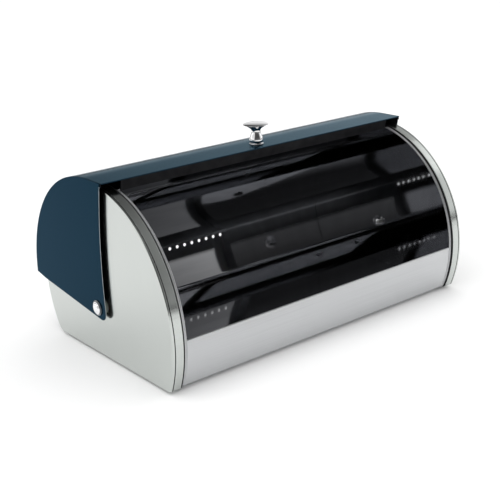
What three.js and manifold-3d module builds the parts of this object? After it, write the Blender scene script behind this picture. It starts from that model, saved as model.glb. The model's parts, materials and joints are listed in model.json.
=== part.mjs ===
import * as THREE from 'three';
import { mergeVertices } from 'three/addons/utils/BufferGeometryUtils.js';
import Module from 'manifold-3d';

// A roll-top bread bin, in millimetres, with +Z up, +X along its length and the front facing -Y.
// The lid stands rolled back, so that the mouth is open. It turns about the pivot axis, along X.

// The body
const LENGTH = 390; // between the outer faces of the end panels
const SHEET = 0.8; // steel sheet
const GAP = 0.3; // between pieces that touch
const BASE_RISE = 3; // underside of the end panels above the table
const PIVOT_RISE = 55.2; // pivot axis above the underside of the end panels
const FRONT_RADIUS = 127.3; // front arc, about the pivot
const REAR_RADIUS = 120.3; // rear arc, which meets the front arc at the top
const FRONT_CORNER = 3; // bend between the front and the floor
const REAR_CORNER = 13; // bend between the back and the floor
const PAN_DEPTH = 11.8; // width of the end panels' turned rim

// The mouth
const SEAL_WIDTH = 1.4;
const SEAL_INSET = 0.3; // below the end panel's rim
const SEAL_DEPTH = 1.1;
const RAIL_SHOWS = 3; // width of the mouth rail beyond the seal
const STRIP_TOP = 181.9; // angle of the front strip's top edge about the pivot, from +Y
const STRIP_HEM = 4; // height of the folded hem
const STRIP_HEM_DEPTH = 2.1; // thickness of the folded hem
const LAP = 18; // floor lap behind the front bend

// The lid
const LID_RADIUS = 133.1;
const LID_REAR = 3.3; // angle of the rear edge
const LID_FLAT = 92; // angle from which the shell runs straight to the lip
const LID_LIP = 104.2; // angle of the lip
const LIP_FOOT = 124.7; // radius that the turned lip reaches in to
const LIP_SIDE_CLEARANCE = 2; // between the turned lip and the mouth rails
const REAR_HEM = 1.6;
const END_HEM = 3; // shell's turned end, which the cheek is welded to
const CHEEK_STAND = 4.5; // outer face of the cheek beyond the end panel
const CHEEK_TIP = 9; // radius of the cheek's lower front corner
const CHEEK_TIP_AT = [-5.8, -2.7]; // centre of that corner from the pivot
const CHEEK_FRONT = 103.4; // angle at which the front edge reaches the shell
const CHEEK_SLOPE = 7.4; // angle of the cheek's lower edge
const CHEEK_BREAK = 113; // where the lower edge turns up to the rear corner

// Pivots
const SHANK_RADIUS = 3;
const HOLE_CLEARANCE = 0.3;
const BOSS_RADIUS = 4.2;
const BUSH_RADIUS = 7;
const HEAD_RADIUS = 6.5;
const HEAD_EDGE = 0.7;
const HEAD_CROWN = 1.7;
const WASHER_RADIUS = 8;
const INNER_WASHER_RADIUS = 7;
const WASHER = 0.8;
const NUT_RADIUS = 5.8; // across the corners
const NUT_FLATS = 3.6;
const NUT_DOME_RADIUS = 4.7;
const NUT_HEIGHT = 7;
const SHANK_IN_NUT = 4.5;

// Knob, with its heights above the rosette
const KNOB_FORWARD = 11; // of the place where the shell's flat begins
const KNOB_FOOT_RADIUS = 6.6;
const KNOB_BULGE = { radius: 7.4, height: 3 };
const KNOB_NECK = { radius: 4.8, height: 13 };
const KNOB_DISC = { radius: 13.65, height: 19.6 };
const KNOB_HEIGHT = 21.4;
const KNOB_BORE = 10;
const ROSETTE_RADIUS = 7.6;
const SCREW_RADIUS = 2;
const SCREW_IN_KNOB = 9;
const SCREW_HEAD_RADIUS = 3.8;
const SCREW_HEAD_EDGE = 1;
const SCREW_HEAD_CROWN = 1.2;
const KNOB_WASHER_RADIUS = 5;

// Vents and feet
const VENT_COUNT = 8;
const VENT_PITCH = 10.6;
const VENT_RADIUS = 2;
const VENT_DROP = 4.5; // below the pivot
const VENT_CUTTER = 12;
const FOOT_RADIUS = 9;
const FOOT_CHAMFER = 1;
const FOOT_RECESS = 2; // takes the rivet's head
const FOOT_RECESS_RADIUS = 4.8;
const FOOT_X = 160;
const FOOT_Y = [-78, 74];
const RIVET_RADIUS = 2;
const RIVET_HEAD_RADIUS = 4.3;
const RIVET_HEAD_CROWN = 1;
const RIVET_TAIL_RADIUS = 3;
const RIVET_TAIL_CROWN = 1.5;

const DEG = Math.PI / 180;
const ARC_STEP = 4; // degrees
const ROUND_SIDES = 24;
const CURVE_STEPS = 5;
const OVER = 1; // a cutter's reach beyond what it cuts
const HALF = LENGTH / 2;
const REAR_REACH = LID_RADIUS * Math.cos(LID_REAR * DEG);
const PIVOT_Y = (FRONT_RADIUS - REAR_REACH) / 2;
const PIVOT_Z = BASE_RISE + PIVOT_RISE;
const SEAL_IN = SEAL_INSET + SEAL_DEPTH;
const WRAP_OUT = SEAL_IN + GAP; // inset of the sheets that run inside the end panels' rims
const WRAP_IN = WRAP_OUT + SHEET;
const PANEL_IN = HALF - SHEET - GAP; // ends of the sheets between the end panels
const SEAL_FROM = HALF - PAN_DEPTH - GAP;
const RAIL_INNER = SEAL_FROM - SEAL_WIDTH - RAIL_SHOWS;
const LIP_HALF = RAIL_INNER - LIP_SIDE_CLEARANCE;
const LIP_FACE = LID_LIP - SHEET / LID_RADIUS / DEG; // rear face of the turned lip
const BACK_TOP = LIP_FACE - GAP / FRONT_RADIUS / DEG;

const FINISHES = {
  satin_steel: { color: 0xc4c9c2, metalness: 1, roughness: 0.32 },
  brushed_steel: { color: 0xaeb2b5, metalness: 1, roughness: 0.38 },
  mirror_steel: { color: 0x8f9295, metalness: 1, roughness: 0.1 },
  blue_paint: { color: 0x1f3a4d, metalness: 0.6, roughness: 0.35 },
  chrome: { color: 0xd8dadc, metalness: 1, roughness: 0.06 },
  black_rubber: { color: 0x111213, metalness: 0, roughness: 0.7 },
  dark_steel: { color: 0x5b5f63, metalness: 1, roughness: 0.4 },
  white_nylon: { color: 0xd5d5cf, metalness: 0, roughness: 0.55 },
};

const wasm = await Module();
wasm.setup();

function solidOf(geometry) {
  const bare = geometry.clone();
  bare.deleteAttribute('normal');
  bare.deleteAttribute('uv');
  const merged = mergeVertices(bare);
  return new wasm.Manifold(new wasm.Mesh({
    numProp: 3,
    vertProperties: new Float32Array(merged.attributes.position.array),
    triVerts: new Uint32Array(merged.index.array),
  }));
}

function geometryOf(solid) {
  const mesh = solid.getMesh();
  const geometry = new THREE.BufferGeometry();
  geometry.setAttribute('position', new THREE.BufferAttribute(mesh.vertProperties, 3));
  geometry.setIndex(new THREE.BufferAttribute(mesh.triVerts, 1));
  geometry.computeVertexNormals();
  return geometry;
}

function joined(...geometries) {
  return geometryOf(geometries.map(solidOf).reduce((sum, next) => sum.add(next)));
}

function cut(geometry, ...tools) {
  return geometryOf(tools.map(solidOf).reduce((rest, tool) => rest.subtract(tool), solidOf(geometry)));
}

// Everything is drawn in the end view: x is rearward and y upward from the pivot, z is along the bin.
const endView = new THREE.Group();
endView.position.set(0, PIVOT_Y, PIVOT_Z);
endView.quaternion.setFromAxisAngle(new THREE.Vector3(1, 1, 1).normalize(), 120 * DEG);

function part(parent, name, geometry, finish) {
  const mesh = new THREE.Mesh(geometry, new THREE.MeshStandardMaterial(FINISHES[finish]));
  mesh.name = name;
  parent.add(mesh);
  return mesh;
}

function arc(x, y, radius, from, to) {
  const steps = Math.max(2, Math.ceil(Math.abs(to - from) / ARC_STEP));
  return Array.from({ length: steps + 1 }, (_, i) => {
    const angle = (from + ((to - from) * i) / steps) * DEG;
    return new THREE.Vector2(x + radius * Math.cos(angle), y + radius * Math.sin(angle));
  });
}

function band(inner, outer, from, to) {
  return [...arc(0, 0, outer, from, to), ...arc(0, 0, inner, to, from)];
}

function extrude(points, from, to) {
  const shape = new THREE.Shape(points);
  return new THREE.ExtrudeGeometry(shape, { depth: to - from, bevelEnabled: false }).translate(0, 0, from);
}

function rod(radius, from, to) {
  const geometry = new THREE.CylinderGeometry(radius, radius, to - from, ROUND_SIDES);
  return geometry.rotateX(Math.PI / 2).translate(0, 0, (from + to) / 2);
}

function turned(profile) {
  return new THREE.LatheGeometry(profile.map(([r, h]) => new THREE.Vector2(r, h)), ROUND_SIDES);
}

function ring(inner, outer, from, to) {
  return turned([[inner, from], [outer, from], [outer, to], [inner, to], [inner, from]]);
}

function curve(point) {
  return Array.from({ length: CURVE_STEPS + 1 }, (_, i) => point(i / CURVE_STEPS));
}

// A turned piece's domed end, from its edge to the axis.
function crown(radius, edge, rise) {
  return curve((t) => [radius * Math.cos(t * 90 * DEG), edge + rise * Math.sin(t * 90 * DEG)]);
}

// The bend where the floor meets the arc of the given radius, whose centre is that far above the pivot.
function bend(radius, corner, centreRise) {
  const drop = centreRise + PIVOT_RISE - corner;
  const tilt = Math.asin(drop / (radius - corner)) / DEG;
  return { tilt, reach: (radius - corner) * Math.cos(tilt * DEG), height: corner - PIVOT_RISE };
}

const REAR_RISE = FRONT_RADIUS - REAR_RADIUS;
const frontBend = bend(FRONT_RADIUS, FRONT_CORNER, 0);
const rearBend = bend(REAR_RADIUS, REAR_CORNER, REAR_RISE);

// The back, from the floor up over the top, and the front from there down to the floor.
function backLine(inset, end) {
  return [
    ...arc(rearBend.reach, rearBend.height, REAR_CORNER - inset, -90, -rearBend.tilt),
    ...arc(0, REAR_RISE, REAR_RADIUS - inset, -rearBend.tilt, 90).slice(1),
    ...arc(0, 0, FRONT_RADIUS - inset, 90, end).slice(1),
  ];
}

function frontLine(inset, start) {
  return [
    ...arc(0, 0, FRONT_RADIUS - inset, start, 180 + frontBend.tilt),
    ...arc(-frontBend.reach, frontBend.height, FRONT_CORNER - inset, 180 + frontBend.tilt, 270).slice(1),
  ];
}

function outline(inset) {
  return [...backLine(inset, 180), ...frontLine(inset, 180).slice(1)];
}

// The front's sheet, from the given angle down, round the bend and back along the floor.
function frontSheet(start) {
  const lap = LAP - frontBend.reach;
  return [
    ...frontLine(WRAP_OUT, start),
    new THREE.Vector2(lap, WRAP_OUT - PIVOT_RISE),
    new THREE.Vector2(lap, WRAP_IN - PIVOT_RISE),
    ...frontLine(WRAP_IN, start).reverse(),
  ];
}

// End panels: a face with its rim turned in all round.
function endPanel(side) {
  const [outer, inner] = [side * HALF, side * (HALF - PAN_DEPTH)];
  const [from, to] = [Math.min(outer, inner), Math.max(outer, inner)];
  const block = extrude(outline(0), from, to);
  const hollow = side < 0
    ? extrude(outline(SHEET), from + SHEET, to + OVER)
    : extrude(outline(SHEET), from - OVER, to - SHEET);
  return cut(block, hollow, rod(SHANK_RADIUS + HOLE_CLEARANCE, from - OVER, to + OVER));
}

function edgeSeal(side) {
  const [a, b] = [side * SEAL_FROM, side * (SEAL_FROM - SEAL_WIDTH)];
  const [from, to] = [Math.min(a, b), Math.max(a, b)];
  return cut(extrude(outline(SEAL_INSET), from, to), extrude(outline(SEAL_IN), from - OVER, to + OVER));
}

function mouthRail(side) {
  const [a, b] = [side * PANEL_IN, side * RAIL_INNER];
  return extrude(frontSheet(BACK_TOP + GAP / FRONT_RADIUS / DEG), Math.min(a, b), Math.max(a, b));
}

function frontStrip() {
  const half = RAIL_INNER - GAP;
  const radius = FRONT_RADIUS - WRAP_OUT;
  const hemEnd = STRIP_TOP + STRIP_HEM / radius / DEG;
  const hem = extrude(band(radius - STRIP_HEM_DEPTH, radius - SHEET / 2, STRIP_TOP, hemEnd), -half, half);
  return joined(extrude(frontSheet(STRIP_TOP), -half, half), hem);
}

function backPanel() {
  const sheet = [...backLine(WRAP_OUT, BACK_TOP), ...backLine(WRAP_IN, BACK_TOP).reverse()];
  const vents = Array.from({ length: VENT_COUNT }, (_, i) => {
    const tool = new THREE.CylinderGeometry(VENT_RADIUS, VENT_RADIUS, VENT_CUTTER, ROUND_SIDES / 2);
    tool.rotateZ(Math.PI / 2);
    return tool.translate(REAR_RADIUS, -VENT_DROP, (i - (VENT_COUNT - 1) / 2) * VENT_PITCH);
  });
  return cut(extrude(sheet, -PANEL_IN, PANEL_IN), ...vents);
}

const body = new THREE.Group();
endView.add(body);
const SIDES = { left: -1, right: 1 };
for (const [name, side] of Object.entries(SIDES)) {
  part(body, `${name}_end_panel`, endPanel(side), 'satin_steel');
  part(body, `${name}_edge_seal`, edgeSeal(side), 'black_rubber');
  part(body, `${name}_mouth_rail`, mouthRail(side), 'brushed_steel');
}
part(body, 'front_strip', frontStrip(), 'brushed_steel');
part(body, 'back_panel', backPanel(), 'mirror_steel');

// Pivots, measured outward from the end panel's outer face.
const CHEEK_OUT = CHEEK_STAND;
const CHEEK_IN = CHEEK_STAND - SHEET;
const washerBase = CHEEK_OUT + GAP;
const headBase = washerBase + WASHER + GAP;
const innerBase = -SHEET - GAP;
const nutTop = innerBase - WASHER - GAP;
const boreRadius = SHANK_RADIUS + HOLE_CLEARANCE;

const pivotBolt = [
  [0, nutTop - SHANK_IN_NUT], [SHANK_RADIUS, nutTop - SHANK_IN_NUT], [SHANK_RADIUS, headBase],
  [HEAD_RADIUS, headBase], ...crown(HEAD_RADIUS, headBase + HEAD_EDGE, HEAD_CROWN),
];
const pivotBush = [
  [boreRadius, GAP], [BUSH_RADIUS, GAP], [BUSH_RADIUS, CHEEK_IN - GAP], [BOSS_RADIUS, CHEEK_IN - GAP],
  [BOSS_RADIUS, CHEEK_OUT], [boreRadius, CHEEK_OUT], [boreRadius, GAP],
];

function domeNut() {
  const flats = new THREE.CylinderGeometry(NUT_RADIUS, NUT_RADIUS, NUT_FLATS, 6);
  flats.translate(0, nutTop - NUT_FLATS / 2, 0);
  const inFlats = nutTop - NUT_FLATS / 2;
  const dome = turned([
    ...crown(NUT_DOME_RADIUS, nutTop - NUT_FLATS, NUT_FLATS - NUT_HEIGHT).reverse(),
    [NUT_DOME_RADIUS, inFlats], [0, inFlats],
  ]);
  const bore = new THREE.CylinderGeometry(boreRadius, boreRadius, 2 * (SHANK_IN_NUT + GAP), ROUND_SIDES);
  return cut(joined(flats, dome), bore.translate(0, nutTop, 0));
}

for (const [name, side] of Object.entries(SIDES)) {
  const pivot = new THREE.Group();
  pivot.position.z = side * HALF;
  pivot.rotation.x = side * 90 * DEG;
  body.add(pivot);
  part(pivot, `${name}_pivot_bolt`, turned(pivotBolt), 'chrome');
  part(pivot, `${name}_pivot_washer`, ring(boreRadius, WASHER_RADIUS, washerBase, washerBase + WASHER),
    'dark_steel');
  part(pivot, `${name}_pivot_bush`, turned(pivotBush), 'white_nylon');
  part(pivot, `${name}_inner_washer`, ring(boreRadius, INNER_WASHER_RADIUS, innerBase - WASHER, innerBase),
    'chrome');
  part(pivot, `${name}_dome_nut`, domeNut(), 'chrome');
}

// The lid: a curved shell with its lip and hems turned in, between two cheeks.
const LID_INNER = LID_RADIUS - SHEET;
const SHELL_HALF = HALF + CHEEK_IN - GAP;
const screwHole = SCREW_RADIUS + HOLE_CLEARANCE;

// A line that far inside the shell's outer face, from its rear edge to the given angle on the flat.
function lidLine(inset, end) {
  const radius = LID_RADIUS - inset;
  const turn = (end - LID_FLAT) * DEG;
  const tip = new THREE.Vector2(radius / Math.cos(turn), 0).rotateAround(new THREE.Vector2(), end * DEG);
  return [...arc(0, 0, radius, LID_REAR, LID_FLAT), tip];
}

function lidShell() {
  const mid = LID_RADIUS - SHEET / 2;
  const between = (outer, inner, end) => [...lidLine(outer, end), ...lidLine(inner, end).reverse()];
  const skin = extrude(between(0, SHEET, LID_LIP), -SHELL_HALF, SHELL_HALF);
  const hemEnd = LID_REAR + SHEET / LID_RADIUS / DEG;
  const hem = extrude(band(LID_INNER - REAR_HEM, mid, LID_REAR, hemEnd), -HALF, HALF);
  const lipTop = mid / Math.cos((LIP_FACE - LID_FLAT) * DEG);
  const lip = extrude(band(LIP_FOOT, lipTop, LIP_FACE, LID_LIP), -LIP_HALF, LIP_HALF);
  const ends = Object.values(SIDES).map((side) => {
    const from = side < 0 ? -SHELL_HALF : SHELL_HALF - SHEET;
    return extrude(between(SHEET / 2, SHEET + END_HEM, CHEEK_FRONT), from, from + SHEET);
  });
  const hole = new THREE.CylinderGeometry(screwHole, screwHole, 2 * OVER + SHEET, ROUND_SIDES);
  hole.translate(-KNOB_FORWARD, mid, 0).rotateZ((LID_FLAT - 90) * DEG);
  return cut(joined(skin, hem, lip, ...ends), hole);
}

function lidCheek(side) {
  const slope = CHEEK_SLOPE * DEG;
  const [tipX, tipY] = CHEEK_TIP_AT;
  const tangent = [tipX + CHEEK_TIP * Math.sin(slope), tipY - CHEEK_TIP * Math.cos(slope)];
  const breakHeight = tangent[1] + (CHEEK_BREAK - tangent[0]) * Math.tan(slope);
  const shellEdge = lidLine(0, CHEEK_FRONT);
  const top = shellEdge[shellEdge.length - 1];
  // The front edge leaves the corner upright and leans forward to the shell on one arc.
  const foremost = tipX - CHEEK_TIP;
  const [lean, height] = [foremost - top.x, top.y - tipY];
  const edgeRadius = (lean * lean + height * height) / (2 * lean);
  const points = [
    ...shellEdge,
    ...arc(foremost - edgeRadius, tipY, edgeRadius, Math.asin(height / edgeRadius) / DEG, 0).slice(1),
    ...arc(tipX, tipY, CHEEK_TIP, 180, 270 + CHEEK_SLOPE).slice(1),
    new THREE.Vector2(CHEEK_BREAK, breakHeight),
  ];
  const [a, b] = [side * (HALF + CHEEK_IN), side * (HALF + CHEEK_OUT)];
  const [from, to] = [Math.min(a, b), Math.max(a, b)];
  return cut(extrude(points, from, to), rod(BOSS_RADIUS + HOLE_CLEARANCE, from - OVER, to + OVER));
}

const lid = new THREE.Group();
endView.add(lid);
part(lid, 'lid_shell', lidShell(), 'blue_paint');
part(lid, 'left_lid_cheek', lidCheek(-1), 'blue_paint');
part(lid, 'right_lid_cheek', lidCheek(1), 'blue_paint');

// The knob stands on a rosette, and a screw with a washer holds it from inside.
const knobStand = new THREE.Group();
knobStand.rotation.z = (LID_FLAT - 90) * DEG;
knobStand.translateX(-KNOB_FORWARD);
lid.add(knobStand);
const rosetteBase = LID_RADIUS + GAP;
const knobBase = rosetteBase + WASHER + GAP;
const knobWasherTop = LID_INNER - 2 * GAP;
const blend = (from, to, share) => from + (to - from) * share;
const knobProfile = [
  [0, KNOB_BORE], [screwHole, KNOB_BORE], [screwHole, 0], [KNOB_FOOT_RADIUS, 0],
  ...curve((t) => [
    blend(KNOB_BULGE.radius, KNOB_NECK.radius, (1 - Math.cos(t * 180 * DEG)) / 2),
    blend(KNOB_BULGE.height, KNOB_NECK.height, t),
  ]),
  ...curve((t) => [
    blend(KNOB_NECK.radius, KNOB_DISC.radius, 1 - Math.cos(t * 90 * DEG)),
    blend(KNOB_NECK.height, KNOB_DISC.height, t),
  ]).slice(1),
  ...crown(KNOB_DISC.radius, KNOB_DISC.height, KNOB_HEIGHT - KNOB_DISC.height).slice(1),
];
const screwSeat = -WASHER - GAP;
const screwTip = knobBase - knobWasherTop + SCREW_IN_KNOB;
const knobScrew = [
  ...crown(SCREW_HEAD_RADIUS, screwSeat - SCREW_HEAD_EDGE, -SCREW_HEAD_CROWN).reverse(),
  [SCREW_HEAD_RADIUS, screwSeat], [SCREW_RADIUS, screwSeat], [SCREW_RADIUS, screwTip], [0, screwTip],
];
part(knobStand, 'knob', turned(knobProfile), 'chrome').position.y = knobBase;
part(knobStand, 'knob_rosette', ring(screwHole, ROSETTE_RADIUS, rosetteBase, rosetteBase + WASHER), 'chrome');
part(knobStand, 'knob_washer', ring(screwHole, KNOB_WASHER_RADIUS, knobWasherTop - WASHER, knobWasherTop),
  'dark_steel');
part(knobStand, 'knob_screw', turned(knobScrew), 'dark_steel').position.y = knobWasherTop;

// The floor and the feet under it, in the bin's own frame.
const bin = new THREE.Group();
bin.add(endView);
const FLOOR_Z = BASE_RISE + WRAP_OUT;
const footPlaces = [-FOOT_X, FOOT_X].flatMap((x) => FOOT_Y.map((y) => [x, y]));

function floorPanel() {
  const front = PIVOT_Y - frontBend.reach + LAP + GAP;
  const rear = PIVOT_Y + rearBend.reach - GAP;
  const corners = [[-PANEL_IN, front], [PANEL_IN, front], [PANEL_IN, rear], [-PANEL_IN, rear]];
  const shape = new THREE.Shape(corners.map(([x, y]) => new THREE.Vector2(x, y)));
  for (const [x, y] of footPlaces) {
    shape.holes.push(new THREE.Path().absarc(x, y, RIVET_RADIUS + HOLE_CLEARANCE, 0, 2 * Math.PI));
  }
  return new THREE.ExtrudeGeometry(shape, { depth: SHEET, bevelEnabled: false, curveSegments: 6 });
}

part(bin, 'floor_panel', floorPanel(), 'mirror_steel').position.z = FLOOR_Z;

const footTop = FLOOR_Z - GAP;
const footBore = RIVET_RADIUS + HOLE_CLEARANCE;
const footProfile = [
  [FOOT_RECESS_RADIUS, 0], [FOOT_RADIUS - FOOT_CHAMFER, 0],
  [FOOT_RADIUS, FOOT_CHAMFER], [FOOT_RADIUS, footTop],
  [footBore, footTop], [footBore, FOOT_RECESS], [FOOT_RECESS_RADIUS, FOOT_RECESS], [FOOT_RECESS_RADIUS, 0],
];
const rivetSeat = FOOT_RECESS - GAP;
const tailBase = FLOOR_Z + SHEET + GAP;
const rivetProfile = [
  ...crown(RIVET_HEAD_RADIUS, rivetSeat, -RIVET_HEAD_CROWN).reverse(),
  [RIVET_RADIUS, rivetSeat], [RIVET_RADIUS, tailBase],
  ...crown(RIVET_TAIL_RADIUS, tailBase, RIVET_TAIL_CROWN),
];
const FOOT_NAMES = ['left_front', 'left_rear', 'right_front', 'right_rear'];
footPlaces.forEach(([x, y], i) => {
  const foot = new THREE.Group();
  foot.position.set(x, y, 0);
  foot.rotation.x = 90 * DEG;
  bin.add(foot);
  part(foot, `${FOOT_NAMES[i]}_foot`, turned(footProfile), 'black_rubber');
  part(foot, `${FOOT_NAMES[i]}_foot_rivet`, turned(rivetProfile), 'dark_steel');
});

export default bin;
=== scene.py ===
import json
import math

import bpy
import numpy as np
from mathutils import Matrix, Vector


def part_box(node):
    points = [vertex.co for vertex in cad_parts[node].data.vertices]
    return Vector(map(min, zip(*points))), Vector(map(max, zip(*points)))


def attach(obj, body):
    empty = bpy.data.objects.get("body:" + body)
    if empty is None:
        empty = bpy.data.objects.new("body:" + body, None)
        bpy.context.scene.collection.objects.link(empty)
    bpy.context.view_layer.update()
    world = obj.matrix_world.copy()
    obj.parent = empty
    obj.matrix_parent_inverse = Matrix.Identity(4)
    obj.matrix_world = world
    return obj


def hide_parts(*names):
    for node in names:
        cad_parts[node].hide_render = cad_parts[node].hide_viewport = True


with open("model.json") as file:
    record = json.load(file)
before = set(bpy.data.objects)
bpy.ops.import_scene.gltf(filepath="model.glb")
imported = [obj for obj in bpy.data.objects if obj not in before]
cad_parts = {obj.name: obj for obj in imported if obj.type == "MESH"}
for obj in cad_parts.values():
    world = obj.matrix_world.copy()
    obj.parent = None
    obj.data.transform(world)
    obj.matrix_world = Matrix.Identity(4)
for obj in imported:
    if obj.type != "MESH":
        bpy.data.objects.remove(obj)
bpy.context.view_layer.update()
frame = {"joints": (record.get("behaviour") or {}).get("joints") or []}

# ---------------------------------------------------------------- sizes, in metres, and angles, in degrees
MM = 0.001
PIVOT = Vector(frame["joints"][0]["pos_m"])
panel_lo, panel_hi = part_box("right_end_panel")
seal_lo, seal_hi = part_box("right_edge_seal")
rail_lo, rail_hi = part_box("right_mouth_rail")
strip_lo, strip_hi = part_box("front_strip")
back_lo, back_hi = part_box("back_panel")
shell_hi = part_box("lid_shell")[1]
cheek_lo, cheek_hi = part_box("right_lid_cheek")

HALF = panel_hi.x
RIM = panel_hi.x - panel_lo.x
FRONT_RADIUS = PIVOT.y - panel_lo.y
REAR_RADIUS = panel_hi.y - PIVOT.y
PIVOT_RISE = PIVOT.z - panel_lo.z
LID_RADIUS = shell_hi.z - PIVOT.z
SHEET = cheek_hi.x - cheek_lo.x
WRAP = panel_hi.z - back_hi.z  # inset of the sheets that run inside the end panels' rims
SEAL_IN = 1.4 * MM  # inset of the seal's inner face
FRONT_CORNER = 3 * MM
REAR_CORNER = 13 * MM
LAP = 18 * MM
HEM_HEIGHT, HEM_DEPTH = 4 * MM, 2.1 * MM
STRIP_SHEET = 0.7 * MM
VENT_COUNT, VENT_PITCH, VENT_RADIUS, VENT_DROP = 8, 10.6 * MM, 2 * MM, 4.5 * MM
GAP = 0.3 * MM  # between pieces that touch
BOLT_RADIUS, BOLT_HOLE = 3 * MM, 3.3 * MM
SCREW_RADIUS, SCREW_HOLE = 2 * MM, 2.3 * MM  # the rivets' too

RAIL_TOP = 103.86  # angles about the pivot, from the rear upwards
BACK_TOP = 103.72
STRIP_TOP = 181.9
LID_REAR = 3.3
LID_FLAT = 92  # the shell runs straight from here to the lip
LID_LIP = 104.2
CHEEK_FRONT = 103.4
LIP_TOP = LID_RADIUS / math.cos(math.radians(LID_LIP - LID_FLAT))
LIP_FOOT = 124.7 * MM  # radius that the turned lip reaches in to
LIP_HALF = 176.5 * MM
END_HEM = 3.8 * MM

ARC_STEP = 1.5
FACING = 0.7  # least share of a normal along X on faces that look along X
SIDES = {"left": -1, "right": 1}


# ---------------------------------------------------------------- the end view's curves
def arc(y, z, radius, start, end, step=ARC_STEP):
    """Stations on an arc in the end view, from the pivot: place and outward normal."""
    count = max(2, math.ceil(abs(end - start) / step))
    angle = np.radians(np.linspace(start, end, count + 1))
    normal = np.stack([np.cos(angle), np.sin(angle)], 1)
    return np.hstack([normal * radius + (y, z), normal])


def straight(start, end, normal, step=6 * MM):
    """Stations on a straight run, without its first one."""
    count = max(2, math.ceil(math.dist(start, end) / step))
    share = np.linspace(0, 1, count + 1)[1:, None]
    place = np.array(start) * (1 - share) + np.array(end) * share
    return np.hstack([place, np.tile(normal, (count, 1))])


def bend(radius, corner, centre_rise):
    """Where the floor meets the arc of that radius: the bend's tilt, reach and height."""
    tilt = math.degrees(math.asin((centre_rise + PIVOT_RISE - corner) / (radius - corner)))
    return tilt, (radius - corner) * math.cos(math.radians(tilt)), corner - PIVOT_RISE


REAR_RISE = FRONT_RADIUS - REAR_RADIUS
FRONT_TILT, FRONT_REACH, FRONT_HEIGHT = bend(FRONT_RADIUS, FRONT_CORNER, 0)
REAR_TILT, REAR_REACH, REAR_HEIGHT = bend(REAR_RADIUS, REAR_CORNER, REAR_RISE)


def back_path(end):
    """From the floor up the back and over the top to that angle."""
    return np.vstack([
        arc(REAR_REACH, REAR_HEIGHT, REAR_CORNER, -90, -REAR_TILT, 6),
        arc(0, REAR_RISE, REAR_RADIUS, -REAR_TILT, 90)[1:],
        arc(0, 0, FRONT_RADIUS, 90, end)[1:],
    ])


def front_path(start, lap):
    """From that angle down the front, round the bend and back along the floor by lap."""
    return np.vstack([
        arc(0, 0, FRONT_RADIUS, start, 180 + FRONT_TILT),
        arc(-FRONT_REACH, FRONT_HEIGHT, FRONT_CORNER, 180 + FRONT_TILT, 270, 10)[1:],
        straight((-FRONT_REACH, -PIVOT_RISE), (lap - FRONT_REACH, -PIVOT_RISE), (0, -1)),
    ])


def lid_path(start, end):
    """Over the shell from the start angle on its arc to the end angle on its flat."""
    curve = arc(0, 0, LID_RADIUS, start, LID_FLAT)
    reach, turn = LID_RADIUS / math.cos(math.radians(end - LID_FLAT)), math.radians(end)
    tip = (reach * math.cos(turn), reach * math.sin(turn))
    return np.vstack([curve, straight(curve[-1, :2], tip, curve[-1, 2:])])


def outline():
    """All round an end panel."""
    floor = REAR_REACH + FRONT_REACH
    return np.vstack([back_path(180), front_path(180, floor)[1:-1]])


def placed(stations, x, inset):
    """The stations as points in the row frame, at x and that far inside the curve."""
    x, inset = np.broadcast_to(x, len(stations)), np.broadcast_to(inset, len(stations))
    flat = stations[:, :2] - stations[:, 2:] * inset[:, None]
    return np.column_stack([x, flat[:, 0] + PIVOT.y, flat[:, 1] + PIVOT.z])


def softened(points, closed=False, steps=4):
    """Corners (a, b, radius) rounded into a smooth line of (a, b)."""
    line = []
    for i, (a, b, radius) in enumerate(points):
        here = np.array([a, b])
        if radius == 0 or (not closed and i in (0, len(points) - 1)):
            line.append(here)
            continue
        ends = []
        for other in (points[i - 1], points[(i + 1) % len(points)]):
            away = np.array(other[:2]) - here
            far = np.linalg.norm(away)
            ends.append(here + away / far * min(radius, 0.48 * far))
        for t in np.linspace(0, 1, steps + 1):
            line.append(ends[0] * (1 - t) ** 2 + here * 2 * t * (1 - t) + ends[1] * t * t)
    return np.array(line)


# ---------------------------------------------------------------- meshes
def grain_uv(mesh):
    """Lays UV in metres, v along the grain: upright on faces that look along X, and along X on the rest."""
    layer = mesh.uv_layers.new(name="grain")
    for face in mesh.polygons:
        middle = math.atan2(PIVOT.y - face.center.y, face.center.z - PIVOT.z)
        for loop in face.loop_indices:
            p = mesh.vertices[mesh.loops[loop].vertex_index].co
            if abs(face.normal.x) > FACING:
                layer.data[loop].uv = (p.y, p.z)
                continue
            angle = math.atan2(PIVOT.y - p.y, p.z - PIVOT.z)
            angle += 2 * math.pi * round((middle - angle) / (2 * math.pi))
            layer.data[loop].uv = (angle * FRONT_RADIUS, p.x)


SHEET_EDGE_RADIUS = 0.15 * MM


def finished(name, points, faces, finish, body, nodes, thickness=0):
    """Makes a piece: mesh, sheet thickness, softened edges, finish, body and the nodes it stands for."""
    mesh = bpy.data.meshes.new(name)
    mesh.from_pydata([tuple(p) for p in points], [], [tuple(int(i) for i in f) for f in faces])
    mesh.validate()
    mesh.update()
    grain_uv(mesh)
    mesh.shade_smooth()
    piece = bpy.data.objects.new(name, mesh)
    bpy.context.scene.collection.objects.link(piece)
    slot, *looks = finish
    for look in looks:
        mesh.materials.append(look)
    if thickness:
        solid = piece.modifiers.new("sheet", "SOLIDIFY")
        solid.thickness, solid.offset, solid.use_even_offset = thickness, -1, True
        solid.material_offset = solid.material_offset_rim = len(looks) - 1
        bevel = piece.modifiers.new("edges", "BEVEL")
        bevel.width, bevel.segments, bevel.limit_method = SHEET_EDGE_RADIUS, 2, "ANGLE"
        bevel.angle_limit = math.radians(50)
    piece.modifiers.new("shading", "WEIGHTED_NORMAL").weight = 90
    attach(piece, body)
    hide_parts(*nodes)
    return piece


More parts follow.
